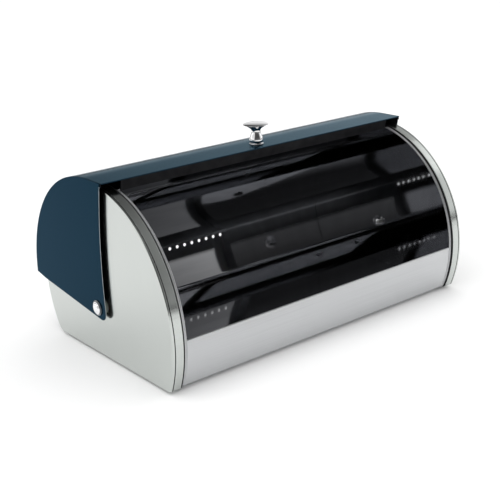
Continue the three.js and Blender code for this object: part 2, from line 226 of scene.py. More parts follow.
def ring_faces(rows, cols, looped=False):
    """Quads between rows of points that each close on themselves."""
    faces = []
    for r in range(rows if looped else rows - 1):
        for c in range(cols):
            a, b = r * cols, (r + 1) % rows * cols
            d = (c + 1) % cols
            faces.append((a + c, a + d, b + d, b + c))
    return faces


def ring_loft(name, rings, looped, flip, **how):
    """A closed piece through rings of points. Where it isn't looped, its two ends are capped."""
    rows, cols = len(rings), len(rings[0])
    faces = ring_faces(rows, cols, looped)
    if not looped:
        faces += [tuple(range(cols))[::-1], tuple(range((rows - 1) * cols, rows * cols))]
    if flip:
        faces = [f[::-1] for f in faces]
    return finished(name, np.vstack(rings), faces, **how)


def patch(name, grid, keep=None, holes=(), hole_radius=0, **how):
    """A sheet over a grid of points, rows round the pivot and columns along X. keep marks the cells to make.
    Each hole takes the four by four cells around its (row, column)."""
    rows, cols = grid.shape[:2]
    points = list(grid.reshape(-1, 3))
    keep = np.ones((rows - 1, cols - 1), bool) if keep is None else keep.copy()
    faces = []
    for r, c in holes:
        keep[r - 2:r + 2, c - 2:c + 2] = False
        rim = [(r - 2, c - 2 + i) for i in range(4)] + [(r - 2 + i, c + 2) for i in range(4)]
        rim += [(r + 2, c + 2 - i) for i in range(4)] + [(r + 2 - i, c - 2) for i in range(4)]
        first = len(points)
        for i, j in rim:
            away = grid[i, j] - grid[r, c]
            points.append(grid[r, c] + away * hole_radius / np.linalg.norm(away))
        for k, (i, j) in enumerate(rim):
            after = (k + 1) % len(rim)
            i2, j2 = rim[after]
            faces.append((i * cols + j, first + k, first + after, i2 * cols + j2))
    for r, c in zip(*np.nonzero(keep)):
        a = r * cols + c
        faces.append((a, a + cols, a + cols + 1, a + 1))
    used = sorted({i for f in faces for i in f})
    new = {old: i for i, old in enumerate(used)}
    return finished(name, [points[i] for i in used], [[new[i] for i in f] for f in faces], **how)


def lathe(name, profile, base, outward, finish, body, node, segments=56, rounded=0.15 * MM):
    """A turned piece: (radius, height) from base along outward, closed on its axis or on itself."""
    corners = [(r, h, rounded if r > 0 else 0) for r, h in profile]
    line = softened(corners, closed=profile[0][0] > 0)
    turn = Vector(outward).to_track_quat("Z", "Y").to_matrix()
    rings = []
    for r, h in line:
        angle = np.linspace(0, 2 * math.pi, segments, endpoint=False)
        rings.append(np.column_stack([r * np.cos(angle), r * np.sin(angle), np.full(segments, h)]))
    points = np.vstack(rings) @ np.array(turn).T + np.array(base)
    looped = profile[0][0] > 0
    faces = ring_faces(len(rings), segments, looped)
    if not looped:  # the first and last rings shrink to one point each
        last = (len(rings) - 1) * segments
        points = np.vstack([points[segments:last], points[0], points[last]])
        start, end = len(points) - 2, len(points) - 1
        faces = ring_faces(len(rings) - 2, segments)
        tail = (len(rings) - 3) * segments
        for c in range(segments):
            d = (c + 1) % segments
            faces += [(start, d, c), (end, tail + c, tail + d)]
    return finished(name, points, faces, finish, body, [node])


def stations(start, end, step, holes=(), reach=3 * MM):
    """Places from start to end at most step apart, with five around each hole."""
    fixed = sorted({start, end, *(h + reach * k / 2 for h in holes for k in (-2, -1, 0, 1, 2))})
    places = [fixed[0]]
    for a, b in zip(fixed, fixed[1:]):
        places += list(np.linspace(a, b, max(1, math.ceil((b - a) / step)) + 1)[1:])
    return np.array(places)


# ---------------------------------------------------------------- materials
class Finish:
    """Builds one procedural material around its principled shader."""

    def __init__(self, name, **sockets):
        self.material = bpy.data.materials.new(name)
        self.material.use_nodes = True
        self.nodes = self.material.node_tree.nodes
        self.shader = self.nodes["Principled BSDF"]
        for socket, value in sockets.items():
            self.shader.inputs[socket.replace("_", " ")].default_value = value

    def link(self, output, node, socket):
        self.material.node_tree.links.new(output, node.inputs[socket])

    def noise(self, scale, detail=3, coordinate="UV"):
        """Noise over the piece, with its own scale along each axis, per metre."""
        where = self.nodes.new("ShaderNodeTexCoord")
        size = self.nodes.new("ShaderNodeMapping")
        size.inputs["Scale"].default_value = scale
        self.link(where.outputs[coordinate], size, "Vector")
        noise = self.nodes.new("ShaderNodeTexNoise")
        noise.inputs["Scale"].default_value = 1
        noise.inputs["Detail"].default_value = detail
        self.link(size.outputs["Vector"], noise, "Vector")
        return noise.outputs["Fac"]

    def ranged(self, value, low, high, start=0.3, end=0.7):
        node = self.nodes.new("ShaderNodeMapRange")
        for socket, number in zip(("From Min", "From Max", "To Min", "To Max"), (start, end, low, high)):
            node.inputs[socket].default_value = number
        self.link(value, node, "Value")
        return node.outputs["Result"]

    def vary(self, socket, value, low, high):
        """Drives a shader socket between two values, numbers or colours."""
        if isinstance(low, tuple):
            mix = self.nodes.new("ShaderNodeMix")
            mix.data_type = "RGBA"
            mix.inputs[6].default_value, mix.inputs[7].default_value = (*low, 1), (*high, 1)
            self.link(self.ranged(value, 0, 1), mix, 0)
            self.link(mix.outputs[2], self.shader, socket)
        else:
            self.link(self.ranged(value, low, high), self.shader, socket)
        return self

    def bumps(self, *layers):
        """Adds bump layers, each a height and its depth in metres."""
        normal = None
        for height, depth in layers:
            bump = self.nodes.new("ShaderNodeBump")
            bump.inputs["Strength"].default_value = 1
            bump.inputs["Distance"].default_value = depth
            self.link(height, bump, "Height")
            if normal:
                self.link(normal, bump, "Normal")
            normal = bump.outputs["Normal"]
        self.link(normal, self.shader, "Normal")
        return self

    def aim(self):
        """Turns the anisotropic highlight to follow the grain."""
        tangent = self.nodes.new("ShaderNodeTangent")
        tangent.direction_type = "UV_MAP"
        tangent.uv_map = "grain"
        self.link(tangent.outputs["Tangent"], self.shader, "Tangent")
        return self


def satin_steel():
    f = Finish("satin_steel", Metallic=1)
    grain = f.noise((1800, 14, 1))
    return f.vary("Base Color", grain, (0.545, 0.57, 0.55), (0.57, 0.595, 0.575)).vary(
        "Roughness", f.noise((300, 9, 1)), 0.15, 0.21).bumps((grain, 0.001 * MM))


def brushed_steel():
    f = Finish("brushed_steel", Metallic=1, Anisotropic=0.7)
    grain = f.noise((2600, 6, 1), detail=4)
    return f.vary("Base Color", grain, (0.59, 0.60, 0.61), (0.66, 0.67, 0.68)).vary(
        "Roughness", f.noise((900, 5, 1)), 0.4, 0.48).bumps((grain, 0.002 * MM)).aim()


def mirror_steel(name, grain_depth):
    f = Finish(name, Metallic=1)
    grain = f.noise((1500, 5, 1))
    f.vary("Base Color", f.noise((60, 8, 1)), (0.36, 0.365, 0.38), (0.44, 0.445, 0.46))
    f.vary("Roughness", grain, 0.03, 0.07)
    return f.bumps((f.noise((30, 9, 1), detail=1), 0.08 * MM), (grain, grain_depth))


def blue_paint():
    f = Finish("blue_paint", Metallic=0.6, Specular_IOR_Level=0.05, Specular_Tint=(0.38, 0.54, 0.64, 1))
    flake = f.noise((4000, 4000, 4000), detail=1, coordinate="Object")
    f.vary("Base Color", flake, (0.006, 0.020, 0.034), (0.012, 0.030, 0.048))
    f.vary("Roughness", f.noise((35, 35, 35), coordinate="Object"), 0.13, 0.19)
    return f.bumps((f.noise((300, 300, 300), detail=2, coordinate="Object"), 0.003 * MM))


def black_lacquer():
    f = Finish("black_lacquer", Specular_IOR_Level=0.03)
    cloud = f.noise((90, 90, 90), coordinate="Object")
    f.vary("Base Color", cloud, (0.006, 0.006, 0.007), (0.012, 0.012, 0.013))
    f.vary("Roughness", f.noise((60, 60, 60), coordinate="Object"), 0.3, 0.42)
    return f.bumps((f.noise((700, 700, 700), coordinate="Object"), 0.008 * MM))


# painted highlight: bright bare metal on the cheeks' edges stands in for the light their rounded painted
# edges catch
def painted_edge_highlight():
    f = Finish("painted_edge_highlight", Metallic=1)
    highlight_tone = f.noise((300, 300, 300), coordinate="Object")
    f.vary("Base Color", highlight_tone, (0.40, 0.43, 0.46), (0.62, 0.65, 0.67))
    return f.vary("Roughness", highlight_tone, 0.3, 0.45)


def chrome(name, shade, low, high):
    f = Finish(name, Metallic=1, Base_Color=(shade, shade, shade * 1.01, 1))
    f.vary("Roughness", f.noise((180, 180, 180), coordinate="Object"), low, high)
    return f.bumps((f.noise((90, 90, 90), detail=1, coordinate="Object"), 0.01 * MM))


def black_rubber():
    f = Finish("black_rubber", Specular_IOR_Level=0.25)
    speck = f.noise((1400, 1400, 1400), coordinate="Object")
    f.vary("Base Color", speck, (0.006, 0.006, 0.007), (0.013, 0.013, 0.014))
    f.vary("Roughness", speck, 0.62, 0.8)
    return f.bumps((speck, 0.03 * MM))


def dark_steel():
    f = Finish("dark_steel", Metallic=1)
    patchy = f.noise((500, 500, 500), coordinate="Object")
    f.vary("Base Color", patchy, (0.19, 0.20, 0.21), (0.30, 0.31, 0.32)).vary("Roughness", patchy, 0.32, 0.5)
    return f.bumps((patchy, 0.02 * MM))


def white_nylon():
    f = Finish("white_nylon", Specular_IOR_Level=0.4, Subsurface_Weight=0.1)
    cloud = f.noise((300, 300, 300), coordinate="Object")
    f.vary("Base Color", cloud, (0.66, 0.66, 0.62), (0.72, 0.72, 0.69)).vary("Roughness", cloud, 0.45, 0.6)
    return f.bumps((cloud, 0.01 * MM))


lacquer = black_lacquer().material
# the third look, black lacquer, is painted shade in the end panels' seam groove
SATIN = ("satin_steel", satin_steel().material, mirror_steel("polished_steel", 0).material, lacquer)
BRUSHED = ("brushed_steel", brushed_steel().material)
MIRROR = ("mirror_steel", mirror_steel("mirror_steel", 0.001 * MM).material)
PAINT = ("blue_paint", blue_paint().material, lacquer)
CHEEK = (*PAINT, painted_edge_highlight().material)
CHROME = ("chrome", chrome("chrome", 0.74, 0.03, 0.07).material)
SOFT_CHROME = ("chrome", chrome("soft_chrome", 0.87, 0.16, 0.22).material)
RUBBER = ("black_rubber", black_rubber().material)
DARK = ("dark_steel", dark_steel().material)
NYLON = ("white_nylon", white_nylon().material)


# ---------------------------------------------------------------- the body
BEND_RADIUS = 1.4 * MM  # where the end panel's face turns into its rim
INNER_BEND_RADIUS = 0.7 * MM
RIM_EDGE_RADIUS = 0.35 * MM
GROOVE_AT, GROOVE_WIDTH, GROOVE_DEPTH = 2.2 * MM, 1.0 * MM, 0.5 * MM
GROOVE_EDGE_RADIUS = 0.12 * MM
FACE_SUPPORT = 2.3 * MM  # inset of the ring that keeps the face flat up to its bend


def end_panel(name, side):
    """A face with a pivot hole and its rim turned in all round, with a seam groove beside the bend."""
    path = outline()
    soft, groove_end = GROOVE_EDGE_RADIUS, GROOVE_AT + GROOVE_WIDTH
    section = softened([
        (0, FACE_SUPPORT, 0), (0, 0, BEND_RADIUS),
        (GROOVE_AT, 0, soft), (GROOVE_AT, GROOVE_DEPTH, soft),
        (groove_end, GROOVE_DEPTH, soft), (groove_end, 0, soft),
        (RIM, 0, RIM_EDGE_RADIUS), (RIM, SHEET, RIM_EDGE_RADIUS),
        (SHEET, SHEET, INNER_BEND_RADIUS), (SHEET, FACE_SUPPORT, 0),
    ])
    around = np.arctan2(path[:, 1], path[:, 0])
    hole = np.column_stack([np.cos(around), np.sin(around), np.cos(around), np.sin(around)]) * BOLT_HOLE
    rings = [placed(path, side * (HALF - depth), inset) for depth, inset in section]
    rings = [placed(hole, side * HALF, 0), *rings, placed(hole, side * (HALF - SHEET), 0)]
    panel = ring_loft(name, rings, looped=True, flip=side > 0, finish=SATIN, body="body", nodes=[name])
    for face in panel.data.polygons:
        depth = HALF - abs(face.center.x)
        if face.normal.x * side < -FACING and depth < 2 * SHEET:
            face.material_index = 1  # polished inside
        elif GROOVE_AT < depth < groove_end:
            face.material_index = 2  # painted shade: the seam groove gets black lacquer for the shade inside it
    return panel


def edge_seal(name, side):
    """A soft rubber cord in the seat between the end panel's rim and the mouth rail."""
    path = outline()
    near, far = HALF - seal_lo.x, HALF - seal_hi.x
    out = panel_hi.z - seal_hi.z
    soft, sharp = 0.5 * MM, 0.2 * MM
    corners = [(far, out, soft), (near, out, soft), (near, SEAL_IN, sharp), (far, SEAL_IN, sharp)]
    rings = [placed(path, side * (HALF - depth), inset) for depth, inset in softened(corners, closed=True)]
    return ring_loft(name, rings, looped=True, flip=side > 0, finish=RUBBER, body="body", nodes=[name])


def mouth_rail(name, side):
    """A folded rail: two bright beads with a channel between, and a flat tail under the end panel's rim."""
    inner, outer = HALF - rail_lo.x, HALF - rail_hi.x
    bead, channel = WRAP - 0.35 * MM, WRAP + 0.35 * MM
    soft = 0.18 * MM
    corners = [
        (outer, WRAP, soft), (inner - 2.9 * MM, WRAP, soft), (inner - 2.6 * MM, bead, 0.3 * MM),
        (inner - 1.8 * MM, bead, 0.35 * MM), (inner - 1.5 * MM, channel, 0.15 * MM),
        (inner - 1.1 * MM, channel, 0.15 * MM), (inner - 0.8 * MM, bead, 0.35 * MM), (inner, bead, 0.4 * MM),
        (inner, WRAP + SHEET, 0.2 * MM), (outer, WRAP + SHEET, soft),
    ]
    section = softened(corners, closed=True)
    path = front_path(RAIL_TOP, LAP)
    lines = [placed(path, side * (HALF - depth), inset) for depth, inset in section]
    rings = list(np.array(lines).transpose(1, 0, 2))
    return ring_loft(name, rings, looped=False, flip=side < 0, finish=BRUSHED, body="body", nodes=[name])


CREASE_RISE = 8 * MM  # of the bend line above the underside of the end panels
CREASE_DEPTH = 0.25 * MM


def front_strip():
    """The strip under the mouth: a hem rolled over inside, a faint bend line near the foot, a floor lap."""
    path = front_path(STRIP_TOP, LAP)
    outer = path[:, :2] - path[:, 2:] * WRAP
    hem_end = STRIP_TOP + math.degrees(HEM_HEIGHT / FRONT_RADIUS)
    flap = arc(0, 0, FRONT_RADIUS - WRAP - HEM_DEPTH, hem_end, STRIP_TOP, 0.6)[:, :2]
    corners = [(*p, 0) for p in flap[:-1]]
    corners += [(*flap[-1], HEM_DEPTH / 2), (*outer[0], HEM_DEPTH / 2)]
    crease = int(np.argmin(abs(path[:, 1] + PIVOT_RISE - CREASE_RISE)))
    for k, p in enumerate(outer[1:], 1):
        dent = CREASE_DEPTH if k == crease else 0
        corners.append((*(p - path[k, 2:] * dent), 0))
        if k in (crease - 1, crease):  # keeps the bend line narrow
            near = outer[crease] + (outer[k if k < crease else k + 1] - outer[crease]) * 0.3
            corners.append((*near, 0))
    line = softened(corners)
    across = stations(strip_lo.x, strip_hi.x, 12 * MM)
    grid = np.array([[(x, y + PIVOT.y, z + PIVOT.z) for x in across] for y, z in line])
    return patch("front_strip", grid, thickness=STRIP_SHEET, finish=BRUSHED, body="body",
                 nodes=["front_strip"])


def back_panel():
    """The bright inner sheet: up the back and over the top, with a row of vent holes."""
    rear = math.degrees(math.asin(-(REAR_RISE + VENT_DROP) / REAR_RADIUS))
    reach = math.degrees(3 * MM / REAR_RADIUS)
    angles = stations(-REAR_TILT, 90.0, ARC_STEP, [rear], reach)
    normal = np.column_stack([np.cos(np.radians(angles)), np.sin(np.radians(angles))])
    rise = np.hstack([normal * REAR_RADIUS + (0, REAR_RISE), normal])
    path = np.vstack([
        arc(REAR_REACH, REAR_HEIGHT, REAR_CORNER, -90, -REAR_TILT, 6), rise[1:],
        arc(0, 0, FRONT_RADIUS, 90, BACK_TOP)[1:],
    ])
    vents = [(i - (VENT_COUNT - 1) / 2) * VENT_PITCH for i in range(VENT_COUNT)]
    across = stations(back_lo.x, back_hi.x, 10 * MM, vents)
    grid = np.array([placed(path, x, WRAP) for x in across]).transpose(1, 0, 2)
    height = -VENT_DROP + PIVOT.z
    row = int(np.argmin(abs(grid[:len(path) // 2, 0, 2] - height)))
    holes = [(row, int(np.argmin(abs(across - x)))) for x in vents]
    return patch("back_panel", grid, holes=holes, hole_radius=VENT_RADIUS, thickness=SHEET,
                 finish=MIRROR, body="body", nodes=["back_panel"])


def floor_panel(feet):
    """The floor sheet, punched for the rivets of the feet."""
    lo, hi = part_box("floor_panel")
    across = stations(lo.x, hi.x, 14 * MM, sorted({x for x, y in feet}))
    along = stations(lo.y, hi.y, 14 * MM, sorted({y for x, y in feet}))[::-1]
    grid = np.array([[(x, y, hi.z) for x in across] for y in along])
    holes = [(int(np.argmin(abs(along - y))), int(np.argmin(abs(across - x)))) for x, y in feet]
    return patch("floor_panel", grid, holes=holes, hole_radius=SCREW_HOLE, thickness=SHEET,
                 finish=MIRROR, body="body", nodes=["floor_panel"])


# ---------------------------------------------------------------- the lid
REAR_HEM = 2.3 * MM
REAR_BEND, LIP_BEND, END_BEND = 0.7 * MM, 1.1 * MM, 0.8 * MM  # radii where the shell turns in
BEND_STEPS = 6  # rows over the lip's bend
SHELL_SHEET = SHEET - 0.1 * MM


def lid_shell():
    """The painted shell: lip turned in at the front, a short hem behind, and both ends turned in."""
    half = shell_hi.x + GAP / 2
    edge = softened([(half, END_HEM, 0), (half, 0, END_BEND), (LIP_HALF, 0, 0)])[:-1]
    inner = stations(-LIP_HALF, LIP_HALF, 12 * MM)
    across = np.concatenate([-edge[:, 0], inner, edge[::-1, 0]])
    inset = np.concatenate([edge[:, 1], np.zeros(len(inner)), edge[::-1, 1]])
    top = lid_path(LID_REAR + 0.35, LID_LIP - math.degrees(LIP_BEND / LID_RADIUS))[:, :2]
    lip = arc(0, 0, 1, LID_LIP, LID_LIP + 1)[0, 2:]
    rear = arc(0, 0, 1, LID_REAR, LID_REAR + 1)[0, 2:]
    front = softened([(*top[-1], 0), (*(lip * LIP_TOP), LIP_BEND), (*(lip * LIP_FOOT), 0)], steps=BEND_STEPS)
    behind = softened([
        (*(rear * (LID_RADIUS - REAR_HEM)), 0), (*(rear * LID_RADIUS), REAR_BEND), (*top[0], 0)])
    line = np.vstack([behind[:-1], top[:-1], front])
    angle = np.degrees(np.arctan2(line[:, 1], line[:, 0]))
    facing = np.radians(np.minimum(angle, LID_FLAT))
    path = np.column_stack([line, np.cos(facing), np.sin(facing)])
    grid = np.array([placed(path, x, n) for x, n in zip(across, inset)]).transpose(1, 0, 2)
    row = np.arange(len(line) - 1)
    middle = abs(across[1:] + across[:-1]) / 2
    keep = np.ones((len(row), len(middle)), bool)
    keep[np.ix_(row >= len(line) - len(front) + BEND_STEPS, middle > LIP_HALF)] = False
    keep[np.ix_(row < 2, middle > HALF)] = False
    keep[np.ix_(angle[:-1] > CHEEK_FRONT, middle > half - END_BEND / 2)] = False
    shell = patch("lid_shell", grid, keep=keep, thickness=SHELL_SHEET, finish=PAINT, body="lid",
                  nodes=["lid_shell"])
    for face in shell.data.polygons:  # painted shade: the turned lip gets the black lacquer of the inside, for the shade on its front
        y, z = face.center.y - PIVOT.y, face.center.z - PIVOT.z
        if math.hypot(y, z) < LIP_TOP - 0.9 * MM and math.degrees(math.atan2(z, y)) > LID_LIP - 0.2:
            face.material_index = 1
    return shell


CHEEK_TIP = 9 * MM  # radius of the lower front corner
CHEEK_TIP_AT = (-5.8 * MM, -2.7 * MM)
CHEEK_SLOPE = 7.4
CHEEK_BREAK = 113 * MM  # where the lower edge turns up to the rear corner
CHEEK_HOLE = 4.5 * MM
CHEEK_MARGIN = 2.2 * MM  # inset of the rings that keep the plate flat up to its edge


def cheek_outline():
    """Stations round a cheek: shell arc, front edge, tip, lower edge and the short rear edge."""
    slope = math.radians(CHEEK_SLOPE)
    tip_y, tip_z = CHEEK_TIP_AT
    low = (tip_y + CHEEK_TIP * math.sin(slope), tip_z - CHEEK_TIP * math.cos(slope))
    down = (math.sin(slope), -math.cos(slope))
    kink = (CHEEK_BREAK, low[1] + (CHEEK_BREAK - low[0]) * math.tan(slope))
    shell_edge = lid_path(LID_REAR, CHEEK_FRONT)
    top, rear = shell_edge[-1, :2], shell_edge[0, :2]
    foremost = tip_y - CHEEK_TIP
    lean, height = foremost - top[0], top[1] - tip_z
    edge_radius = (lean * lean + height * height) / (2 * lean)
    turn = math.degrees(math.asin(height / edge_radius))
    front = arc(foremost - edge_radius, tip_z, edge_radius, turn, 0, 0.35)
    front[:, 2:] *= -1  # its centre is outside the cheek
    away = np.array([rear[0] - kink[0], rear[1] - kink[1]])
    behind = np.array([away[1], -away[0]]) / np.linalg.norm(away)
    path = np.vstack([
        shell_edge, front[1:], arc(*CHEEK_TIP_AT, CHEEK_TIP, 180, 270 + CHEEK_SLOPE, 4)[1:],
        straight(low, kink, down), straight(kink, rear, behind)[:-1],
    ])
    return path


def lid_cheek(name, side):
    """A flat plate with a boss hole: painted outside, lacquered inside, and bright bare metal on its edges as
    a painted highlight.
    """
    path = cheek_outline()
    path[:, 2:] = smooth_normals(path)
    outer, inner, margin = cheek_hi.x, cheek_lo.x, CHEEK_MARGIN
    around = np.unwrap(np.arctan2(path[:, 1], path[:, 0]))
    hole = np.column_stack([np.cos(around), np.sin(around)] * 2) * CHEEK_HOLE
    section = softened([(outer, margin, 0), (outer, 0, 0.3 * MM), (inner, 0, 0.15 * MM), (inner, margin, 0)])
    rings = [placed(path, side * x, inset) for x, inset in section]
    rings = [placed(hole, side * outer, 0), *rings, placed(hole, side * inner, 0)]
    cheek = ring_loft(name, rings, looped=True, flip=side > 0, finish=CHEEK, body="lid", nodes=[name])
    for face in cheek.data.polygons:
        reach = math.hypot(face.center.y - PIVOT.y, face.center.z - PIVOT.z)
        if face.normal.x * side < -FACING:
            face.material_index = 1  # lacquered inside
        elif abs(face.normal.x) < 0.5 and reach < LID_RADIUS - MM:
            face.material_index = 2  # painted highlight: bright bare metal on the edge, except against the shell
    return cheek


def smooth_normals(path):
    """Outward normals of a closed path, averaged at its corners so that insets stay even."""
    ahead = np.roll(path[:, :2], -1, 0) - path[:, :2]
    out = np.column_stack([ahead[:, 1], -ahead[:, 0]])
    out /= np.linalg.norm(out, axis=1)[:, None] + 1e-12
    both = out + np.roll(out, 1, 0)
    return both / np.maximum(1e-9, (both * both).sum(1))[:, None] * 2


# ---------------------------------------------------------------- turned pieces
def crown(radius, edge, rise, steps=8):
    """A domed end from its edge to the axis."""
    angles = np.linspace(0, math.pi / 2, steps)[:-1]
    return [(radius * math.cos(a), edge + rise * math.sin(a)) for a in angles] + [(0, edge + rise)]


HEAD_HEIGHT = 2.4 * MM
BOSS_RADIUS = 4.2 * MM  # of the bush, inside the cheek's hole
NUT_FLATS, NUT_DOME_RADIUS, NUT_BORE_DEPTH = 3.6 * MM, 4.7 * MM, 4.8 * MM


def pivot_pieces(name, side):
    """The bolt, washers, bush and dome nut on one pivot. Heights are outward from the end panel's face."""
    base, out = (side * HALF, PIVOT.y, PIVOT.z), (side, 0, 0)

    def spans(node):
        lo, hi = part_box(f"{name}_{node}")
        ends = sorted(side * x - HALF for x in (lo.x, hi.x))
        return ends[0], ends[1], (hi.z - lo.z) / 2

    def turn(node, profile, finish, **more):
        lathe(f"{name}_{node}", profile, base, out, finish, "body", f"{name}_{node}", **more)

    low, high, head = spans("pivot_bolt")
    seat = high - HEAD_HEIGHT
    shank = [(0, low), (BOLT_RADIUS, low), (BOLT_RADIUS, seat)]
    flange = [(head, seat), (head, seat + 0.55 * MM), (head - 0.35 * MM, seat + 0.7 * MM),
              (head - 0.8 * MM, seat + 0.62 * MM)]
    dome = crown(head - 1.1 * MM, seat + 0.75 * MM, 1.65 * MM)
    turn("pivot_bolt", shank + flange + dome, SOFT_CHROME, rounded=0.12 * MM)
    for node, finish in (("pivot_washer", DARK), ("inner_washer", CHROME)):
        low, high, rim = spans(node)
        turn(node, [(BOLT_HOLE, low), (rim, low), (rim, high), (BOLT_HOLE, high)], finish, rounded=0.2 * MM)
    low, high, rim = spans("pivot_bush")
    step = high - SHEET - GAP
    turn("pivot_bush", [(BOLT_HOLE, low), (rim, low), (rim, step), (BOSS_RADIUS, step), (BOSS_RADIUS, high),
                        (BOLT_HOLE, high)], NYLON)
    dome_nut(f"{name}_dome_nut", side)


ON_AXIS = 1e-6  # radius of the ring that closes an end


def dome_nut(name, side):
    """A hexagon nut with a domed cap, pointing into the bin. Its flats blend into the dome's round."""
    lo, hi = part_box(name)
    radius = (hi.z - lo.z) / 2
    top, tip = sorted((abs(lo.x), abs(hi.x)), reverse=True)
    segments = 72
    angle = np.linspace(0, 2 * math.pi, segments, endpoint=False) + math.pi / 2
    sector = math.pi / 3
    turn = (angle - math.pi / 2 + sector / 2) % sector - sector / 2
    hexagon = radius * math.cos(sector / 2) / np.cos(abs(turn) - sector / 2)
    hexagon = np.minimum(hexagon, radius * 0.985)
    rings = []

    def ring(r, x):
        r = np.broadcast_to(r, segments)
        rings.append(np.column_stack([np.full(segments, side * x), r * np.cos(angle) + PIVOT.y,
                                      r * np.sin(angle) + PIVOT.z]))

    bore_end, shoulder = top - NUT_BORE_DEPTH, top - NUT_FLATS
    ring(ON_AXIS, bore_end)
    ring(BOLT_HOLE, bore_end)
    ring(BOLT_HOLE, top)
    ring(hexagon * 0.93, top)
    ring(hexagon, top - 0.3 * MM)
    ring(hexagon, shoulder + 0.35 * MM)
    ring(np.minimum(hexagon * 0.95, radius * 0.9), shoulder)
    for r, h in crown(NUT_DOME_RADIUS, shoulder, tip - shoulder)[:-1]:
        ring(r, h)
    ring(ON_AXIS, tip)
    return ring_loft(name, rings, looped=False, flip=side > 0, finish=CHROME, body="body", nodes=[name])


KNOB_FORWARD = 11 * MM  # of the place where the shell's flat begins
KNOB_BULGE = (7.4 * MM, 3 * MM)  # radius and height above the rosette
KNOB_NECK = (4.8 * MM, 13 * MM)
KNOB_DISC_AT = 19.6 * MM
KNOB_HEIGHT = 21.4 * MM
KNOB_BORE, SCREW_IN_KNOB = 10 * MM, 9 * MM
ROSETTE_RADIUS, KNOB_WASHER_RADIUS, SCREW_HEAD_RADIUS = 7.6 * MM, 5 * MM, 3.8 * MM


def knob_pieces():
    """The chrome knob on its rosette, and the screw and washer that hold it from inside."""
    out = Vector((0, math.cos(math.radians(LID_FLAT)), math.sin(math.radians(LID_FLAT))))
    axis_at = PIVOT + Vector((0, -out.z, out.y)) * KNOB_FORWARD

    def turn(node, height, profile, finish, **more):
        lathe(node, profile, axis_at + out * height, out, finish, "lid", node, **more)

    lo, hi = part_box("knob")
    disc = (hi.x - lo.x) / 2
    rosette_at = LID_RADIUS + GAP
    knob_at = rosette_at + SHEET + GAP
    swell, flare = [], []
    for t in np.linspace(0, 1, 18):
        share = (1 - math.cos(math.pi * t)) / 2
        swell.append((KNOB_BULGE[0] + (KNOB_NECK[0] - KNOB_BULGE[0]) * share,
                      KNOB_BULGE[1] + (KNOB_NECK[1] - KNOB_BULGE[1]) * t))
    for t in np.linspace(0, 1, 14)[1:]:
        flare.append((KNOB_NECK[0] + (disc - KNOB_NECK[0]) * (1 - math.cos(t * math.pi / 2)),
                      KNOB_NECK[1] + (KNOB_DISC_AT - KNOB_NECK[1]) * t))
    foot = [(6.6 * MM, 0), (7.0 * MM, 0.6 * MM), (7.3 * MM, 1.8 * MM)]
    bore = [(0, KNOB_BORE), (SCREW_HOLE, KNOB_BORE), (SCREW_HOLE, 0)]
    top = crown(disc, KNOB_DISC_AT, KNOB_HEIGHT - KNOB_DISC_AT, 16)[1:]
    turn("knob", knob_at, bore + foot + swell + flare + top, CHROME, segments=96, rounded=0.1 * MM)
    turn("knob_rosette", rosette_at, [
        (SCREW_HOLE, 0), (ROSETTE_RADIUS, 0), (ROSETTE_RADIUS, 0.45 * MM), (ROSETTE_RADIUS - 0.7 * MM, SHEET),
        (SCREW_HOLE, SHEET)], CHROME, segments=72)
    washer_top = LID_RADIUS - SHEET - 2 * GAP
    turn("knob_washer", washer_top, [(SCREW_HOLE, -SHEET), (KNOB_WASHER_RADIUS, -SHEET),
                                     (KNOB_WASHER_RADIUS, 0), (SCREW_HOLE, 0)], DARK)
    seat = -SHEET - GAP
    tip = knob_at - washer_top + SCREW_IN_KNOB
    head = crown(SCREW_HEAD_RADIUS, seat - MM, -1.2 * MM)[::-1]
    shank = [(SCREW_HEAD_RADIUS, seat), (SCREW_RADIUS, seat), (SCREW_RADIUS, tip), (0, tip)]
    turn("knob_screw", washer_top, head + shank, DARK)


FOOT_RECESS, FOOT_RECESS_RADIUS = 2 * MM, 4.8 * MM
RIVET_HEAD_RADIUS, RIVET_TAIL_RADIUS, RIVET_TAIL_CROWN = 4.3 * MM, 3 * MM, 1.5 * MM


def foot_pieces(name):
    """A rubber foot with a recess for its rivet. Returns the foot's centre."""
    lo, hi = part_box(f"{name}_foot")
    centre = ((lo.x + hi.x) / 2, (lo.y + hi.y) / 2)
    radius, top = (hi.x - lo.x) / 2, hi.z
    base, up = (*centre, 0), (0, 0, 1)
    profile = [(FOOT_RECESS_RADIUS, 0), (radius - MM, 0), (radius, MM), (radius, top), (SCREW_HOLE, top),
               (SCREW_HOLE, FOOT_RECESS), (FOOT_RECESS_RADIUS, FOOT_RECESS)]
    lathe(f"{name}_foot", profile, base, up, RUBBER, "body", f"{name}_foot", rounded=0.4 * MM)
    rivet_lo, rivet_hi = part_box(f"{name}_foot_rivet")
    seat, tail = FOOT_RECESS - GAP, rivet_hi.z - RIVET_TAIL_CROWN
    head = crown(RIVET_HEAD_RADIUS, seat, rivet_lo.z - seat)[::-1]
    shank = [(SCREW_RADIUS, seat), (SCREW_RADIUS, tail)]
    lathe(f"{name}_foot_rivet", head + shank + crown(RIVET_TAIL_RADIUS, tail, RIVET_TAIL_CROWN),
          base, up, DARK, "body", f"{name}_foot_rivet")
    return centre


def build():
    for name, side in SIDES.items():
        end_panel(f"{name}_end_panel", side)
        edge_seal(f"{name}_edge_seal", side)
        mouth_rail(f"{name}_mouth_rail", side)
        pivot_pieces(name, side)
        lid_cheek(f"{name}_lid_cheek", side)
    front_strip()
    back_panel()
    lid_shell()
    knob_pieces()
    floor_panel([foot_pieces(f"{side}_{end}") for side in SIDES for end in ("front", "rear")])


# ---------------------------------------------------------------- camera, floor and light
CAMERA_AT = Vector((-0.6060, -0.8070, 0.3959))
CAMERA_AZIMUTH, CAMERA_ELEVATION, CAMERA_ROLL = -36.71, 17.98, -3.88
LENS = 68.61
BIN_MIDDLE = Vector((0, 0, 0.08))


